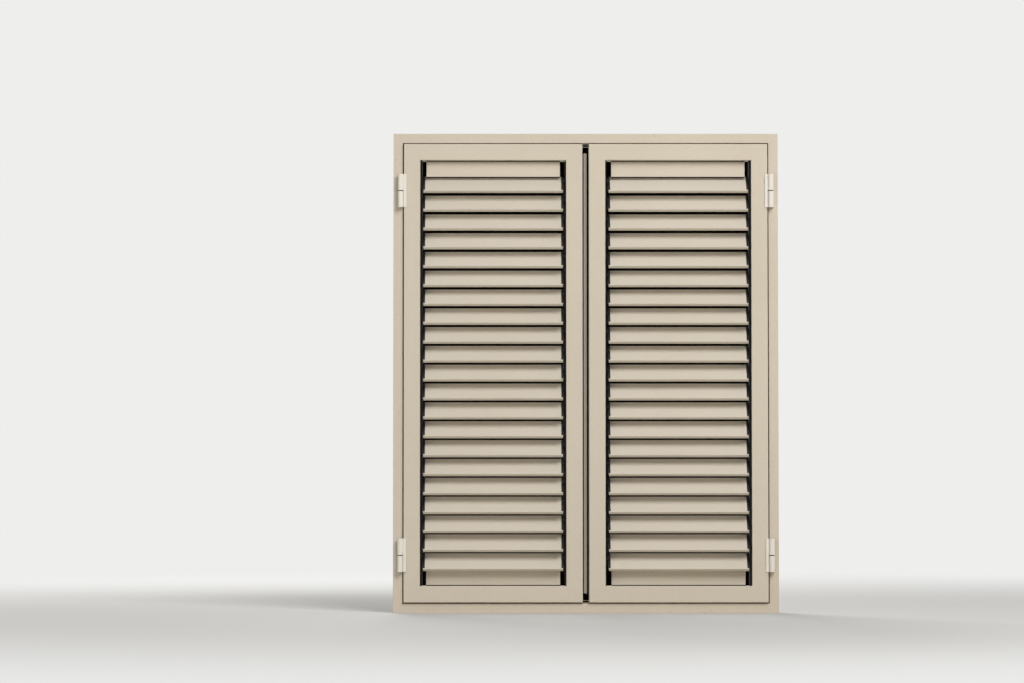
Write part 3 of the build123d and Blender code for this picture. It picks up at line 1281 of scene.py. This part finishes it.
@dataclass
class Hinges:
    """Lift-off hinges, whose two halves stand a little apart on a black bushing whose black also paints the
    shade line of the split. Millimetres.
    """

    shop: Workshop
    edge: float = 0.6
    joint_heights: tuple[float, float] = (156.0, 1144.0)
    half_gap: float = 1.3
    drawn_back: float = 1.1
    rim_depth: float = 1.0
    bushing_radius: float = 6.2
    bushing_play: float = 0.1
    bushing_sides: int = 28

    def half(self, node: str, body: str, direction: int) -> None:
        """Dresses one body's hinge halves and draws their knuckles back from the joint.

        Args:
            node: the halves' node.
            body: the body that they move with.
            direction: 1 for halves above the joint, and -1 for halves below it.
        """
        piece = self.shop.soften(node, body, Coat.HINGE, self.edge)
        for point in piece.data.vertices:
            for height in self.joint_heights:
                if 0.0 < (point.co.z - height * MM) * direction < self.rim_depth * MM:
                    point.co.z += direction * self.drawn_back * MM
                    break

    def tree(self, material: bpy.types.Material) -> GeometryTree:
        """Builds the tree that sets both bushings of one leaf on its hinge axis.

        Args:
            material: the bushings' finish.

        Returns:
            The tree.
        """
        inputs = {
            "Axis": (0.0, 0.0, 0.0),
            "Radius": self.bushing_radius * MM,
            "Depth": 2 * (self.half_gap - self.bushing_play) * MM,
            "Lower joint": self.joint_heights[0] * MM,
            "Upper joint": self.joint_heights[1] * MM,
        }
        tree = GeometryTree("hinge_bushings", inputs)
        values = tree.values
        sizes = {"Vertices": self.bushing_sides, "Radius": values["Radius"], "Depth": values["Depth"]}
        bushing = tree.add("GeometryNodeMeshCylinder", sizes).outputs[0]
        heights = (values["Lower joint"], values["Upper joint"])
        pair = tree.joined(*(tree.moved(bushing, tree.vector(z=height)) for height in heights))
        tree.finish(tree.moved(pair, values["Axis"]), material)
        return tree

    def build(self) -> None:
        """Dresses the halves on the frame and on both leaves, and adds the bushings."""
        self.half("frame_hinge_halves", "frame", -1)
        # The bushings take the black cap finish, which also paints the shade line at each hinge split.
        tree = self.tree(self.shop.palette[Coat.CAP])
        for side in Side:
            body = side.named("leaf")
            self.half(side.named("leaf_hinge_halves"), body, 1)
            x, y, _ = self.shop.joints[f"{body}_swing"]["pos_m"]
            bushings = tree.grow(side.named("hinge_bushings"), {"Axis": (x, y, 0.0)})
            self.shop.mount(bushings, "frame", Coat.CAP)


@dataclass
class FixedFrame:
    """The mitred outer frame with its lip, seal and corner cleats. Millimetres."""

    shop: Workshop
    paint_edge: float = 0.7
    shortest_edge: float = 7.0
    seal_edge: float = 0.9

    def build(self) -> None:
        """Dresses the frame's own profiles and its seal, and finishes the cleats."""
        for node in ("frame_jambs", "frame_head_and_sill"):
            self.shop.soften(node, "frame", Coat.FRAME, self.paint_edge, self.shortest_edge)
        self.shop.soften("frame_seal", "frame", Coat.SEAL, self.seal_edge, segments=3)
        self.shop.paint("frame_corner_cleats", Coat.CLEAT)


@dataclass
class Leaf:
    """One leaf: its mitred members, carriers, closing strips, slats and drive bar.

    Edges are in millimetres. The rest angle is how far the slats lean from upright, in degrees.
    """

    shop: Workshop
    side: Side
    blades: SlatTree
    caps: SlatTree
    shade_gaskets: GeometryTree
    slat_count: int = 21
    rest_angle: float = 45.0
    paint_edge: float = 0.8
    plastic_edge: float = 0.5
    strip_edge: float = 0.5
    bar_edge: float = 0.4
    shortest_edge: float = 7.0

    def build(self) -> None:
        """Dresses every piece of the leaf."""
        body = self.side.named("leaf")
        members = {
            "leaf_stiles": (Coat.LEAF, self.paint_edge),
            "leaf_rails_and_cleats": (Coat.LEAF, self.paint_edge),
            "slat_carriers": (Coat.CARRIER, self.plastic_edge),
        }
        for member, (coat, edge) in members.items():
            self.shop.soften(self.side.named(member), body, coat, edge, self.shortest_edge)
        self.shop.soften(self.side.named("closing_strips"), body, Coat.LEAF, self.strip_edge)
        bar = self.side.named("drive_bar")
        self.shop.soften(bar, bar, Coat.BAR, self.bar_edge, self.shortest_edge)
        low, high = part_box(self.side.named("closing_strips"))
        corners = {"Low corner": tuple(low), "High corner": tuple(high)}
        # Black gasket bars at the closing strips paint the shade lines in their gaps.
        self.shop.mount(self.shade_gaskets.grow(self.side.named("strip_gaskets"), corners), body, Coat.SEAL)
        for number in range(1, self.slat_count + 1):
            self.slat(self.side.named(f"slat_{number:02d}"))

    def slat(self, body: str) -> None:
        """Makes the blade and the caps of one slat at its pivot.

        Args:
            body: the slat's body, whose node has the same name.
        """
        place = tuple(self.shop.joints[f"{body}_tilt"]["pos_m"])
        low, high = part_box(self.side.named("slat_carriers"))
        shared = {"Place": place, "Tilt": -math.radians(self.rest_angle), "Opening": high.x - low.x}
        blade = self.blades.grow(f"{body}_blade", shared)
        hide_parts(body)
        self.shop.mount(blade, body, Coat.SLAT)
        caps = self.caps.grow(f"{body}_caps", {**shared, "Crank side": -float(self.side.outward)})
        self.shop.mount(caps, body, Coat.CAP)


@dataclass
class ShadeGaskets:
    """Black bars along a leaf's closing strips, shaped as a rubber seam at each rail and a wiper under the
    hem, which paint the shade lines in these gaps.

    Sizes are in millimetres. Depths run back from the front of the hem to the middle of each line.
    """

    thickness: float = 1.6
    seam_height: float = 2.4
    wiper_height: float = 3.6
    strip_height: float = 44.0
    top_depth: float = 3.1
    wiper_depth: float = 3.6
    bottom_depth: float = 7.1

    def tree(self, material: bpy.types.Material) -> GeometryTree:
        """Builds the tree that sets the three lines into the box of a leaf's closing strips.

        Args:
            material: the black rubber, which here paints shade lines.

        Returns:
            The tree.
        """
        corners = {"Low corner": (0.0, 0.0, 0.0), "High corner": (0.0, 0.0, 0.0)}
        heights = in_metres(self, "thickness", "seam_height", "wiper_height", "strip_height")
        depths = in_metres(self, "top_depth", "wiper_depth", "bottom_depth")
        tree = GeometryTree("strip_gaskets", {**corners, **heights, **depths})
        values = tree.values
        _, _, bottom = tree.parts(values["Low corner"])
        _, _, top = tree.parts(values["High corner"])
        under_top = tree.math("SUBTRACT", top, values["Seam height"])
        hem = tree.math("SUBTRACT", top, values["Strip height"])
        under_hem = tree.math("SUBTRACT", hem, values["Wiper height"])
        lines = [
            self.line(tree, values["Top depth"], under_top, values["Seam height"]),
            self.line(tree, values["Wiper depth"], under_hem, values["Wiper height"]),
            self.line(tree, values["Bottom depth"], bottom, values["Seam height"]),
        ]
        tree.finish(tree.joined(*lines), material)
        return tree

    @staticmethod
    def line(tree: GeometryTree, depth: Socket, base: Socket, height: Socket) -> Socket:
        """Makes a flat bar over the strips' whole width.

        Args:
            tree: the gaskets' tree.
            depth: how far its middle lies behind the front of the hem.
            base: the height that it stands on.
            height: its own height.

        Returns:
            The bar in its place.
        """
        left, front, _ = tree.parts(tree.values["Low corner"])
        right, _, _ = tree.parts(tree.values["High corner"])
        size = tree.vector(tree.math("SUBTRACT", right, left), tree.values["Thickness"], height)
        bar = tree.add("GeometryNodeMeshCube", {"Size": size}).outputs[0]
        middle = tree.half(tree.math("ADD", left, right))
        level = tree.math("MULTIPLY_ADD", height, 0.5, base)
        return tree.moved(bar, tree.vector(middle, tree.math("ADD", front, depth), level))


@dataclass
class MeetingStrip:
    """The narrow strip between the leaves, and the screws through its flange. Millimetres."""

    shop: Workshop
    edge: float = 0.5
    screw_inset: float = 9.0
    screws: FlangeScrews = field(default_factory=FlangeScrews)

    def build(self) -> None:
        """Dresses the strip and sets its screws on the back of the flange."""
        self.shop.soften("meeting_strip", "left_leaf", Coat.STRIP, self.edge)
        low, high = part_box("meeting_strip")
        inset = self.screws.end_inset * MM
        start = (low.x + self.screw_inset * MM, high.y, low.z + inset)
        pitch = (high.z - low.z - 2 * inset) / (self.screws.count - 1)
        tree = self.screws.tree(self.shop.palette[Coat.SCREW])
        row = tree.grow("meeting_strip_screws", {"Start": start, "Pitch": pitch})
        self.shop.mount(row, "left_leaf", Coat.SCREW)


@dataclass(frozen=True)
class Lamp:
    """A large square lamp, in metres and watts, which may show as a highlight."""

    name: str
    place: Place
    size: float
    power: float
    mirrored: bool = True

    def build(self, aim: Place) -> None:
        """Hangs the lamp.

        Args:
            aim: the point that it faces.
        """
        light = bpy.data.lights.new(self.name, "AREA")
        light.energy = self.power
        light.size = self.size
        lamp = new_object(self.name, light)
        lamp.location = self.place
        lamp.visible_glossy = self.mirrored
        lamp.rotation_euler = (Vector(aim) - Vector(self.place)).to_track_quat("-Z", "Y").to_euler()


@dataclass
class Studio:
    """The pale floor, the soft lights, the camera and the dark sheet of painted shade behind the shutters.

    Places and distances are in metres and the camera's tilt in degrees. The lens, the sensor and the
    sheet's inset and depth are in millimetres.
    """

    backdrop: Colour = (238, 238, 237)
    floor: Colour = (206, 205, 202)
    bounce: Colour = (200, 194, 182)
    floor_reach: float = 30.0
    fade_start: float = 1.2
    fade_end: float = 4.0
    # The dark sheet's colour, how much light it stops and its place paint the shade seen through the gaps of
    # the shutters.
    shade_sheet_colour: Colour = (14, 12, 10)
    shade_sheet_block: float = 0.2
    shade_sheet_inset: float = 12.0
    shade_sheet_depth: float = 1.5
    world_light: float = 0.22
    lamps: tuple[Lamp, ...] = (
        Lamp(name="key", place=(2.4, -4.6, 4.5), size=3.4, power=340.0, mirrored=False),
        Lamp(name="fill", place=(-4.2, -4.0, 1.6), size=3.0, power=50.0),
        Lamp(name="back", place=(-1.5, 4.5, 3.0), size=3.0, power=230.0, mirrored=False),
    )
    lamp_aim: Place = (0.0, 0.0, 0.65)
    camera_place: Place = (-0.20, -8.9, 0.37)
    camera_tilt: float = 2.35
    lens: float = 115.28
    sensor: float = 36.0
    view_limit: float = 200.0

    def build(self) -> None:
        """Sets up everything around the object."""
        self.world()
        self.ground()
        self.painted_shade_sheet()
        for lamp in self.lamps:
            lamp.build(self.lamp_aim)
        self.camera()
        log.info("studio with %d lamps", len(self.lamps))

    @staticmethod
    def seen(graph: Graph) -> Socket:
        """Tells the rays that show the background from those that light the object.

        Args:
            graph: the graph that asks for it.

        Returns:
            1 for camera, glossy and transmission rays, and 0 for the others.
        """
        path = graph.add("ShaderNodeLightPath").outputs
        shiny = graph.math("MAXIMUM", path["Is Glossy Ray"], path["Is Transmission Ray"])
        return graph.math("MAXIMUM", path["Is Camera Ray"], shiny)

    def world(self) -> None:
        """An even pale world, seen at its own colour and lighting at a lower strength."""
        world = bpy.data.worlds.new("studio")
        graph = Graph.emptied(world)
        levels = {"Factor": self.seen(graph), 2: self.world_light, 3: 1.0}
        strength = graph.add("ShaderNodeMix", levels, data_type="FLOAT").outputs[0]
        light = {"Color": linear(self.backdrop), "Strength": strength}
        background = graph.add("ShaderNodeBackground", light)
        graph.add("ShaderNodeOutputWorld", {"Surface": background.outputs[0]})
        bpy.context.scene.world = world

    @staticmethod
    def sheet(name: str, corners: list[Place], material: bpy.types.Material) -> None:
        """Adds a flat stage piece with one face.

        Args:
            name: the piece's name.
            corners: its corners, in order.
            material: its material.
        """
        mesh = bpy.data.meshes.new(name)
        mesh.from_pydata(corners, [], [tuple(range(len(corners)))])
        mesh.materials.append(material)
        piece = new_object(name, mesh)

    def ground(self) -> None:
        """A pale floor that keeps the shadow and runs into the backdrop's colour."""
        material = bpy.data.materials.new("pale_floor")
        graph = Graph.emptied(material)
        seen = self.seen(graph)
        place = graph.add("ShaderNodeTexCoord").outputs["Object"]
        distance = graph.add("ShaderNodeVectorMath", {0: place}, operation="LENGTH").outputs["Value"]
        span = {"Value": distance, "From Min": self.fade_start, "From Max": self.fade_end}
        fade = graph.add("ShaderNodeMapRange", span, interpolation_type="SMOOTHSTEP").outputs[0]
        tint = graph.blend(seen, linear(self.bounce), linear(self.floor))
        matt = graph.add("ShaderNodeBsdfDiffuse", {"Color": tint}).outputs[0]
        glow = graph.add("ShaderNodeEmission", {"Color": linear(self.backdrop), "Strength": 1.0}).outputs[0]
        share = graph.math("MULTIPLY", fade, seen)
        mixed = graph.add("ShaderNodeMixShader", {0: share, 1: matt, 2: glow}).outputs[0]
        graph.add("ShaderNodeOutputMaterial", {"Surface": mixed})
        reach = self.floor_reach
        corners = [(-reach, -reach, 0.0), (reach, -reach, 0.0), (reach, reach, 0.0), (-reach, reach, 0.0)]
        self.sheet("floor", corners, material)

    def painted_shade_sheet(self) -> None:
        """A dark sheet of painted shade behind the opening, which the camera sees from the front only."""
        material = bpy.data.materials.new("painted_shade_sheet_material")
        graph = Graph.emptied(material)
        dark = graph.add("ShaderNodeBsdfDiffuse", {"Color": linear(self.shade_sheet_colour)}).outputs[0]
        clear = graph.add("ShaderNodeBsdfTransparent").outputs[0]
        behind = graph.add("ShaderNodeNewGeometry").outputs["Backfacing"]
        direct = graph.add("ShaderNodeLightPath").outputs["Is Camera Ray"]
        shown = graph.math("SUBTRACT", direct, behind, clamp=True)
        other = graph.math("MULTIPLY", graph.math("SUBTRACT", 1.0, direct), self.shade_sheet_block)
        share = graph.math("ADD", shown, other)
        mixed = graph.add("ShaderNodeMixShader", {0: share, 1: clear, 2: dark}).outputs[0]
        graph.add("ShaderNodeOutputMaterial", {"Surface": mixed})
        low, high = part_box("frame_jambs")
        inset, depth = self.shade_sheet_inset * MM, high.y - self.shade_sheet_depth * MM
        left, right, bottom, top = low.x + inset, high.x - inset, low.z + inset, high.z - inset
        corners = [(left, depth, bottom), (right, depth, bottom), (right, depth, top), (left, depth, top)]
        self.sheet("painted_shade_sheet", corners, material)

    def camera(self) -> None:
        """The camera at the photograph's distance, height and lens."""
        data = bpy.data.cameras.new("camera")
        data.lens = self.lens
        data.sensor_width = self.sensor
        data.clip_end = self.view_limit
        camera = new_object("camera", data)
        camera.location = self.camera_place
        camera.rotation_euler = (math.radians(90 + self.camera_tilt), 0.0, 0.0)
        bpy.context.scene.camera = camera


def main() -> None:
    """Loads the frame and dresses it."""
    logging.basicConfig(level=logging.INFO, format="%(name)s: %(message)s")
    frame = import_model()
    joints = {joint["name"]: joint for joint in frame["joints"]}
    bpy.context.scene.view_settings.view_transform = "Standard"
    palette = Palette()
    shop = Workshop(frame["nodes"], joints, palette)
    Studio().build()
    FixedFrame(shop).build()
    Hinges(shop).build()
    blades = Blade().tree(palette[Coat.SLAT])
    caps = EndCaps().tree(palette[Coat.CAP])
    shade_gaskets = ShadeGaskets().tree(palette[Coat.SEAL])
    for side in Side:
        Leaf(shop, side, blades, caps, shade_gaskets).build()
    MeetingStrip(shop).build()
    bpy.context.view_layer.update()


if __name__ == "__main__":
    main()
